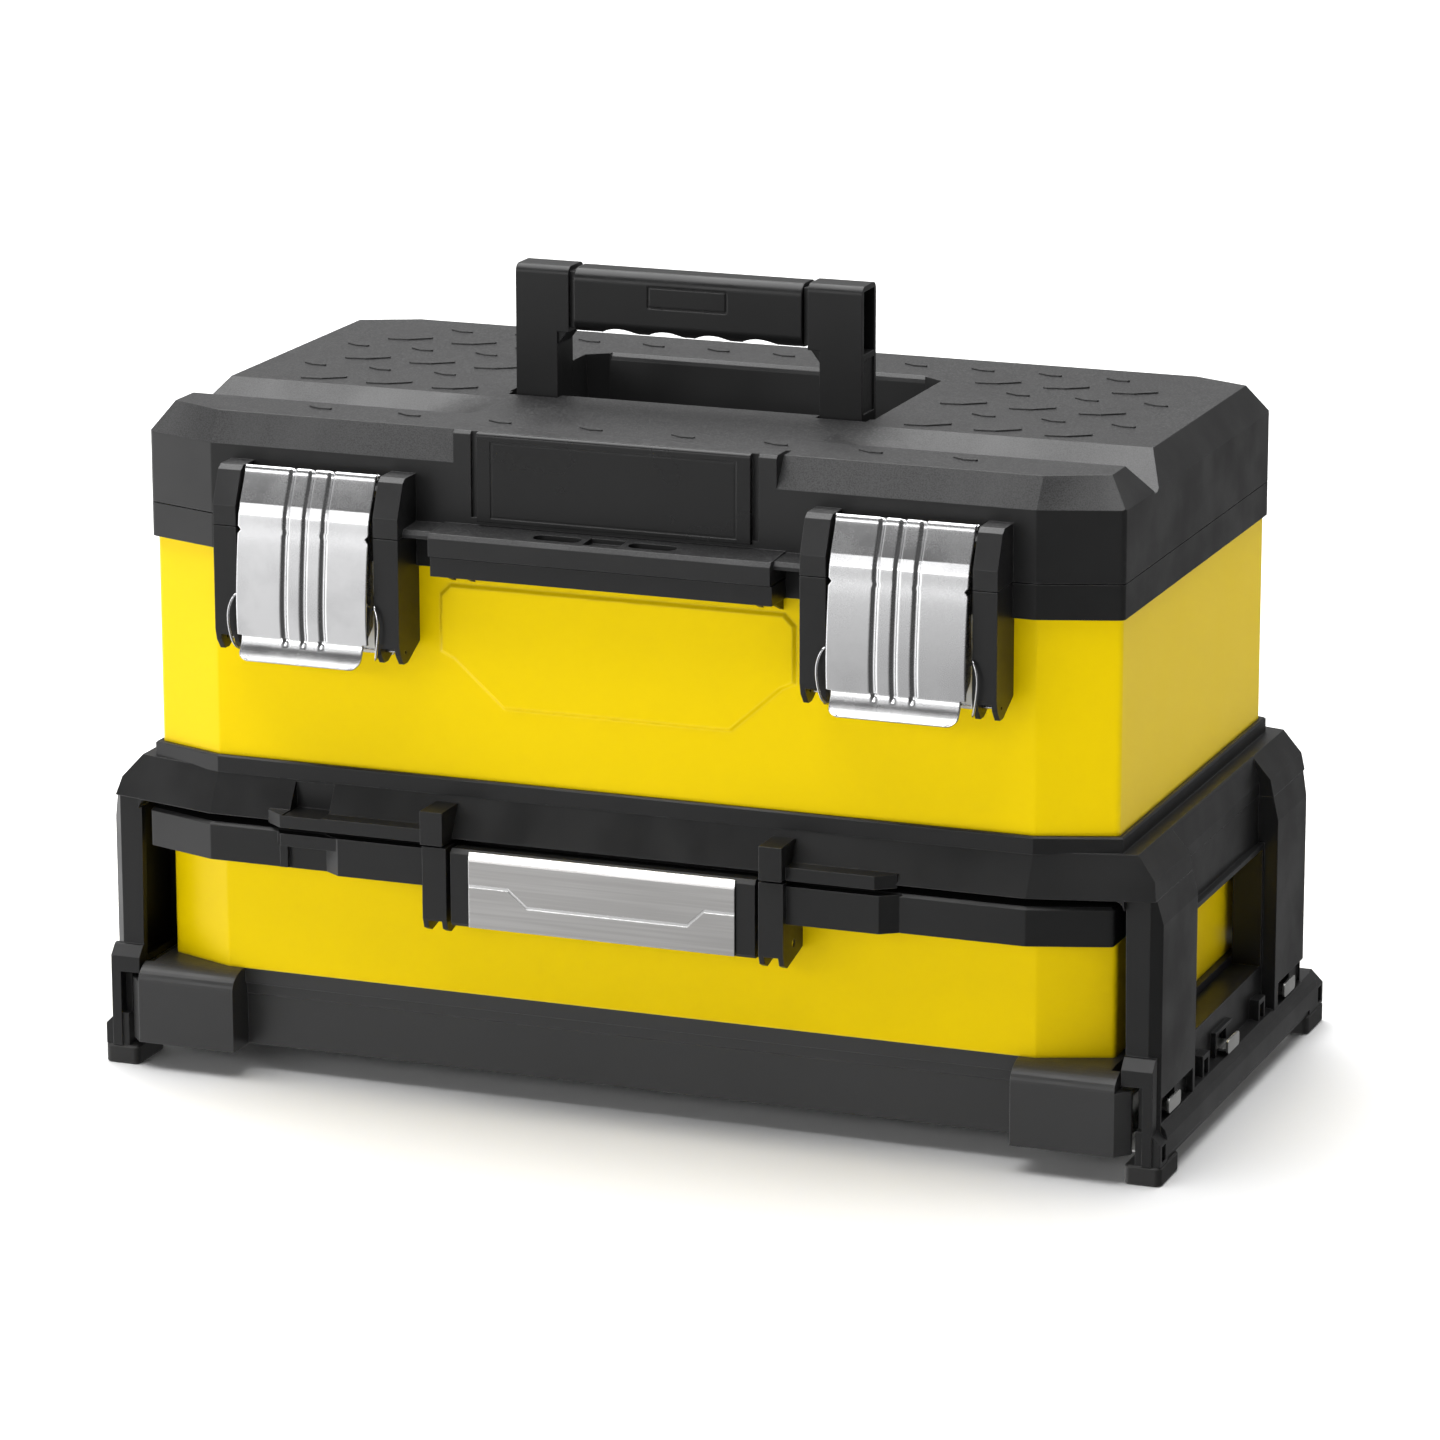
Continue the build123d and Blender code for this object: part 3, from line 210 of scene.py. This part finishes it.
def painted_steel(name, colour, deep, edge):
    """Powder-coated sheet: orange peel, faint drift of tone, gloss that varies a little."""
    material, n, shader = new_material(name)
    rounded, edges = n.rounding(edge * MM)
    tone = n.mix(n.span(n.noise(6.0, 3.0), 0.3, 0.75), colour, deep)
    # edges painted paler yellow: partly wear, partly a painted edge highlight
    n.feed(shader["Base Color"], n.mix(n.times(edges, 0.25), tone, WORN_EDGE_AND_HIGHLIGHT))
    n.feed(shader["Roughness"], n.span(n.noise(24.0, 4.0), 0.2, 0.8, 0.28, 0.33))
    n.feed(shader["Normal"], n.bump(n.noise(420.0, 2.0), 0.08, 0.05 * MM, rounded))
    shader["Specular IOR Level"].default_value = 0.45
    shader["Specular Tint"].default_value = (*PAINT_SHINE, 1.0)
    return material


def drawn_metal(name, colour, rough, stretch, depth=0.25, edge=0.4, fineness=900.0):
    """Plated or brushed metal: drawing streaks, cloudy plating, smudges and fine scratches."""
    material, n, shader = new_material(name)
    rounded, edges = n.rounding(edge * MM)
    streaks = n.noise(fineness, 3.0, stretch)
    smudge = n.noise(38.0, 6.0)
    duller = tuple(0.84 * channel for channel in colour)
    shader["Metallic"].default_value = 1.0
    n.feed(shader["Base Color"], n.mix(n.span(smudge, 0.35, 0.7), colour, duller))
    level = n.plus(n.span(streaks, 0.2, 0.8, *rough), n.span(smudge, 0.3, 0.7, -0.02, 0.05))
    n.feed(shader["Roughness"], n.plus(level, n.times(edges, -0.06)))
    scratches = n.times(n.noise(2400.0, 2.0), 0.6)
    n.feed(shader["Normal"], n.bump(n.plus(streaks, scratches), depth, 0.05 * MM, rounded))
    return material


def face_aluminium(name, groove_y):
    """Brushed aluminium whose engraved line, at Y beyond groove_y, and cut edges are polished bright."""
    material, n, shader = new_material(name)
    rounded, edges = n.rounding(0.45 * MM)
    streaks = n.noise(700.0, 4.0, (0.015, 1.0, 1.0))
    line = n.span(n.place_part("Y"), groove_y - 0.1 * MM, groove_y + 0.05 * MM)
    bright = n.maths("MAXIMUM", line, edges)
    shader["Metallic"].default_value = 1.0
    tone = n.mix(n.span(streaks, 0.3, 0.7), (0.54, 0.53, 0.52), (0.62, 0.61, 0.6))
    polished = (0.98, 0.98, 0.98)
    n.feed(shader["Base Color"], n.mix(bright, tone, polished))
    n.feed(shader["Roughness"], n.plus(n.span(n.noise(30.0, 5.0), 0.3, 0.7, 0.3, 0.38), n.times(bright, -0.16)))
    n.feed(shader["Normal"], n.bump(streaks, 0.2, 0.05 * MM, rounded))
    return material


GROOVE_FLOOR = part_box("latch_face_plate")[0].y + 0.3 * MM
MATERIALS = {
    "black_plastic": moulded_plastic(
        "black_plastic", (0.0125, 0.0125, 0.0128), (0.3, 0.44), flow=0.12, specular=0.36),
    "lid_plastic": moulded_plastic(
        "lid_plastic", (0.014, 0.014, 0.0143), (0.32, 0.46), top_grain_and_sheen=0.6, flow=0.4, specular=0.4),
    "plate_plastic": moulded_plastic(
        "plate_plastic", (0.009, 0.009, 0.0092), (0.24, 0.34), grain=0.15, specular=0.4),
    "grip_rubber": moulded_plastic(
        "grip_rubber", (0.006, 0.006, 0.0062), (0.3, 0.42), grain=0.35, edge=1.0, specular=0.4),
    "foot_rubber": moulded_plastic(
        "foot_rubber", (0.016, 0.0155, 0.015), (0.5, 0.65), grain=0.6, edge=1.0),
    "yellow_paint": painted_steel(
        "yellow_paint", (0.91, 0.655, 0.0), (0.9, 0.64, 0.0), edge=1.6),
    "latch_chrome": drawn_metal(
        "latch_chrome", (0.84, 0.84, 0.85), (0.2, 0.26), (1.0, 1.0, 1.0), depth=0.06, fineness=3600.0),
    "zinc_steel": drawn_metal("zinc_steel", (0.84, 0.84, 0.82), (0.26, 0.4), (1.0, 0.08, 1.0)),
    "bright_steel": drawn_metal("bright_steel", (0.72, 0.72, 0.73), (0.14, 0.24), (0.2, 1.0, 1.0)),
    "brushed_aluminium": face_aluminium("brushed_aluminium", GROOVE_FLOOR),
}
for part in frame["record"]["subparts"]:
    mesh = nodes[part["node"]].data
    mesh.materials.clear()
    mesh.materials.append(MATERIALS[part["material_slot"]])
# the drawer's base is given a lighter grey than the rest
nodes["drawer_base"].data.materials[0] = moulded_plastic(
    "base_plastic", (0.028, 0.028, 0.0284), (0.36, 0.48), flow=0.1)


# ------------------------------------------------------------------ sprung latch plates
def smooth_path(points, steps):
    """Catmull-Rom curve through 2-D points."""
    path = []
    padded = [points[0], *points, points[-1]]
    for a, b, c, d in zip(padded, padded[1:], padded[2:], padded[3:]):
        for step in range(steps):
            t = step / steps
            path.append(tuple(
                0.5 * (2 * q + (r - p) * t + (2 * p - 5 * q + 4 * r - s) * t * t + (3 * q - p - 3 * r + s) * t ** 3)
                for p, q, r, s in zip(a, b, c, d)
            ))
    return path + [points[-1]]


# every size of the latches is in mm
LATCH_X = 149.5
PLATE_HALF, LIP_HALF, LIP_ROUND = 33.8, 31.4, 5.0
PATH_STEPS, GROOVE_STEPS = 4, 6     # mesh steps from point to point, and from a groove's middle to its side
# y, z from the rolled top edge over the upper panel, the narrow bend and the long bowed panel to the flared lip
PLATE_SIDE = [
    (-133.2, 308.6), (-132.9, 310.2), (-133.8, 311.5), (-135.2, 311.4), (-136.0, 310.4), (-136.4, 309.4),
    (-136.9, 308.0), (-139.6, 302.0), (-142.4, 296.2), (-143.0, 295.0), (-143.3, 294.2), (-144.5, 290.7),
    (-144.75, 289.9), (-144.95, 288.9), (-145.6, 284.0), (-146.8, 276.0), (-148.1, 265.0), (-149.1, 254.0),
    (-149.5, 245.0), (-149.3, 238.0), (-148.8, 232.6), (-148.7, 231.4), (-148.9, 230.3), (-149.5, 228.6),
    (-150.5, 226.3), (-151.9, 224.1), (-153.2, 222.4), (-154.7, 220.6),
]
LIP_TOP, LIP_END, LIP_SLANT = 231.5, 220.6, 0.7     # heights, and height per length along the flared lip
NOTCH_Z, NOTCH_DEPTH = (281.5, 284.0), 1.6
GROOVE_X = (-11.0, -1.0, 9.0)
GROOVE_HALF, GROOVE_DEPTH, GROOVE_END, GROOVE_FADE = 2.2, 1.15, 230.0, 2.4
UPPER_PANEL_Z = 294.0
INTO_UPPER, INTO_LOWER = (0.865, -0.45), (1.0, 0.0)     # y, z way into the plate above and below that height
PLAIN_X = {-33.8, -33.3, -32.0, -28.0, -22.0, -17.0, 15.0, 20.0, 26.0, 32.0, 33.3, 33.8}
SHEET = 0.9
FLANGE_STEPS, FLANGE_SPREAD = (0.12, 0.5, 1.0), 0.25
# height, and how far the plate's side flanges turn back there
FLANGE = [
    (312.0, 0.8), (292.0, 1.0), (286.0, 3.0), (262.0, 7.0), (250.0, 9.0), (240.0, 8.0), (235.0, 1.2), (219.0, 0.6),
]
# x out from the latch's middle, y, z along one arm of the wire, from the foot up to the eye
WIRE_ARM = [
    (34.7, -137.0, 227.0), (34.8, -140.2, 224.0), (35.6, -143.6, 223.0), (37.4, -146.6, 226.6),
    (38.9, -147.6, 234.5), (39.3, -147.4, 241.5), (38.0, -146.6, 247.0), (36.2, -145.6, 250.4),
    (35.0, -142.4, 249.8), (34.7, -140.6, 247.0), (31.5, -141.0, 247.0),
]
WIRE_RADIUS, WIRE_STRAIGHT = 0.62, 20.0
ROD_X = (-44.0, 43.6)


def table(rows, at):
    """Straight-line reading of a falling table."""
    for (high, first), (low, second) in zip(rows, rows[1:]):
        if low <= at <= high:
            return second + (first - second) * (at - low) / (high - low)
    return rows[0][1] if at > rows[0][0] else rows[-1][1]


def sheet_mesh(name, rows, flip):
    """Mesh from a grid of points in mm, as rows of equal length."""
    mesh = bpy.data.meshes.new(name)
    shape = bmesh.new()
    grid = [[shape.verts.new(Vector(point) * MM) for point in row] for row in rows]
    for upper, lower in zip(grid, grid[1:]):
        for a, b, c, d in zip(upper, upper[1:], lower[1:], lower):
            shape.faces.new((a, b, c, d) if flip else (d, c, b, a))
    for face in shape.faces:
        face.smooth = True
    shape.to_mesh(mesh)
    shape.free()
    piece = bpy.data.objects.new(name, mesh)
    bpy.context.scene.collection.objects.link(piece)
    return piece


def half_width(z):
    """Half the plate's width at a height: straight, notched at the bend, narrower and rounded at the lip."""
    round_top = LIP_END + LIP_ROUND * LIP_SLANT
    if z < round_top:
        drop = (round_top - z) / LIP_SLANT
        return LIP_HALF - LIP_ROUND + math.sqrt(max(LIP_ROUND ** 2 - drop ** 2, 0.0))
    if z < LIP_TOP:
        return LIP_HALF
    if NOTCH_Z[0] < z < NOTCH_Z[1]:
        return PLATE_HALF - NOTCH_DEPTH
    return PLATE_HALF


def latch_sheet(side):
    """Pressed latch plate with three grooves that run out above the lip."""
    steps = range(-GROOVE_STEPS - 1, GROOVE_STEPS + 2)
    in_grooves = {round(groove + GROOVE_HALF * step / GROOVE_STEPS, 2) for groove in GROOVE_X for step in steps}
    across = sorted(in_grooves | PLAIN_X)
    rows = []
    for y, z in smooth_path(PLATE_SIDE, PATH_STEPS):
        half = half_width(z)
        run_out = min(1.0, max(0.0, (z - GROOVE_END + GROOVE_FADE) / GROOVE_FADE))
        into_y, into_z = INTO_UPPER if z > UPPER_PANEL_Z else INTO_LOWER
        row = []
        for x in across:
            reach = min(abs(x - groove) for groove in GROOVE_X) / GROOVE_HALF
            sink = GROOVE_DEPTH * run_out * (0.5 + 0.5 * math.cos(math.pi * min(reach, 1.0)))
            row.append((side * (LATCH_X + x * half / PLATE_HALF), y + sink * into_y, z + sink * into_z))
        turned = table(FLANGE, z)
        first, last = (
            [(corner[0] + side * out * FLANGE_SPREAD * (1 - (1 - t) ** 2), y + t * turned, z) for t in FLANGE_STEPS]
            for corner, out in ((row[0], -1), (row[-1], 1))
        )
        rows.append(first[::-1] + row + last)
    piece = sheet_mesh(f"latch_sheet_{'right' if side > 0 else 'left'}", rows, side < 0)
    thick = piece.modifiers.new("thickness", "SOLIDIFY")
    thick.thickness = SHEET * MM
    thick.offset = -1.0
    return piece


def bail_wire(side):
    """Sprung wire from the lugs' feet, bowed forward up each side of the plate to its eyes, and its foot rod."""
    name = f"latch_wire_{'right' if side > 0 else 'left'}"
    curve = bpy.data.curves.new(name, "CURVE")
    curve.dimensions = "3D"
    curve.bevel_depth = WIRE_RADIUS * MM
    curve.bevel_resolution = 4
    foot = WIRE_ARM[0][1:]
    middle = [(-WIRE_STRAIGHT, *foot), (WIRE_STRAIGHT, *foot)]
    loop = [(-x, y, z) for x, y, z in WIRE_ARM[::-1]] + middle + WIRE_ARM
    rod = [(x, *foot) for x in ROD_X]
    for kind, points in (("NURBS", loop), ("POLY", rod)):
        spline = curve.splines.new(kind)
        spline.points.add(len(points) - 1)
        for target, (x, y, z) in zip(spline.points, points):
            target.co = (side * (LATCH_X + x) * MM, y * MM, z * MM, 1.0)
        if kind == "NURBS":
            spline.order_u = 3
            spline.use_endpoint_u = True
    wire = bpy.data.objects.new(name, curve)
    bpy.context.scene.collection.objects.link(wire)
    return wire


for side, word in ((1, "right"), (-1, "left")):
    for piece, body, node, slot in (
        (latch_sheet(side), f"latch_{word}", f"latch_plate_{word}", "latch_chrome"),
        (bail_wire(side), f"bail_{word}", f"latch_bail_{word}", "bright_steel"),
    ):
        piece.data.materials.append(MATERIALS[slot])
        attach(piece, body)
        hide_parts(node)


# ------------------------------------------------------------------ floor, light and camera
FLOOR_SIZE = 16.0
ROOM_BRIGHT, ROOM_DARK, ROOM_STRENGTH = (1.0, 1.0, 1.0), (0.1, 0.1, 0.1), 0.5
LIGHTS = (      # name, place, aim, size, power in watts, mirrored
    ("strip_light", (-0.95, -2.45, 0.95), (-0.05, -0.1, 0.2), (2.6, 0.5), 14.5, True),      # low, in front
    ("top_light", (-0.45, 0.25, 2.6), (-0.2, 0.1, 0.1), (3.4, 3.0), 138.0, True),           # overhead
    ("sweep_light", (-2.0, 3.6, 3.0), (-1.6, 3.4, 0.0), (4.6, 4.0), 150.0, False),          # on the background
    ("side_light", (2.8, 0.8, 0.8), (0.2, 0.0, 0.2), (1.4, 0.8), 2.5, True),                # weak, at the right
)


def soft_box(name, place, aim, size, power, mirrored):
    """Rectangular studio light facing a point; glossy faces show it only if it is mirrored."""
    data = bpy.data.lights.new(name, "AREA")
    data.shape = "RECTANGLE"
    data.size, data.size_y = size
    data.energy = power
    light = bpy.data.objects.new(name, data)
    light.location = place
    light.visible_glossy = mirrored
    light.rotation_euler = (Vector(aim) - Vector(place)).to_track_quat("-Z", "Y").to_euler()
    bpy.context.scene.collection.objects.link(light)


def studio_floor():
    """Plain pale floor that isn't mirrored in the object."""
    bpy.ops.mesh.primitive_plane_add(size=FLOOR_SIZE, location=(0, 0, 0))
    floor = bpy.context.object
    floor.name = "studio_floor"
    material, n, shader = new_material("studio_floor")
    n.feed(shader["Base Color"], n.mix(n.noise(2.5), (0.88, 0.88, 0.88), (0.9, 0.9, 0.9)))
    shader["Roughness"].default_value = 0.9
    shader["Specular IOR Level"].default_value = 0.1
    floor.data.materials.append(material)
    floor.visible_glossy = False


def studio_world():
    """White room with dark patches in front, to the right and behind, which the object's faces mirror."""
    world = bpy.data.worlds.new("studio_world")
    bpy.context.scene.world = world
    world.use_nodes = True
    n = Nodes(world.node_tree)
    towards = n.add("ShaderNodeSeparateXYZ")
    n.feed(towards.inputs[0], n.add("ShaderNodeTexCoord").outputs["Generated"])
    across, along, height = (towards.outputs[axis] for axis in "XYZ")
    ahead = n.span(along, -0.45, -0.15, 1.0, 0.0)
    band = n.times(n.span(height, 0.36, 0.48), n.span(height, 0.74, 0.86, 1.0, 0.0))
    low = n.span(height, 0.1, 0.22, 1.0, 0.0)
    leftward = n.span(across, -0.48, -0.22, 1.0, 0.0)
    shades = (
        n.times(band, ahead),                                                       # in front, halfway up
        n.times(n.span(across, 0.1, 0.7), 0.85),                                    # to the right
        n.times(n.span(across, 0.0, 0.35), n.times(ahead, 0.95)),                   # in front, to the right
        n.times(n.span(along, 0.3, 0.8), n.span(height, 0.35, 0.6, 0.5, 0.0)),      # behind, low
        n.times(low, n.span(leftward, 0.0, 1.0, 0.46, 0.0)),                        # below, except to the left
    )
    shade = 0.0
    for part in shades:
        shade = n.maths("MAXIMUM", shade, part)
    level = n.mix(shade, ROOM_BRIGHT, ROOM_DARK)
    background = world.node_tree.nodes["Background"].inputs
    n.feed(background["Color"], level)
    lift = n.plus(n.times(leftward, 0.45), n.span(across, -0.8, -0.6, 0.9, 0.0))
    n.feed(background["Strength"], n.plus(ROOM_STRENGTH, n.times(low, lift)))


def camera():
    """Long lens from the right of the front, a little above the lid."""
    data = bpy.data.cameras.new("camera")
    data.sensor_width = 36.0
    data.lens = 155.085
    data.shift_x = -0.0291
    data.shift_y = -0.0265
    data.clip_end = 50.0
    eye = bpy.data.objects.new("camera", data)
    eye.location = (1.0646, -2.7481, 0.9446)
    eye.rotation_euler = (math.radians(75.617), 0.0, math.radians(20.667))
    bpy.context.scene.collection.objects.link(eye)
    bpy.context.scene.camera = eye


studio_floor()
studio_world()
for light in LIGHTS:
    soft_box(*light)
camera()
bpy.context.scene.view_settings.view_transform = "Standard"
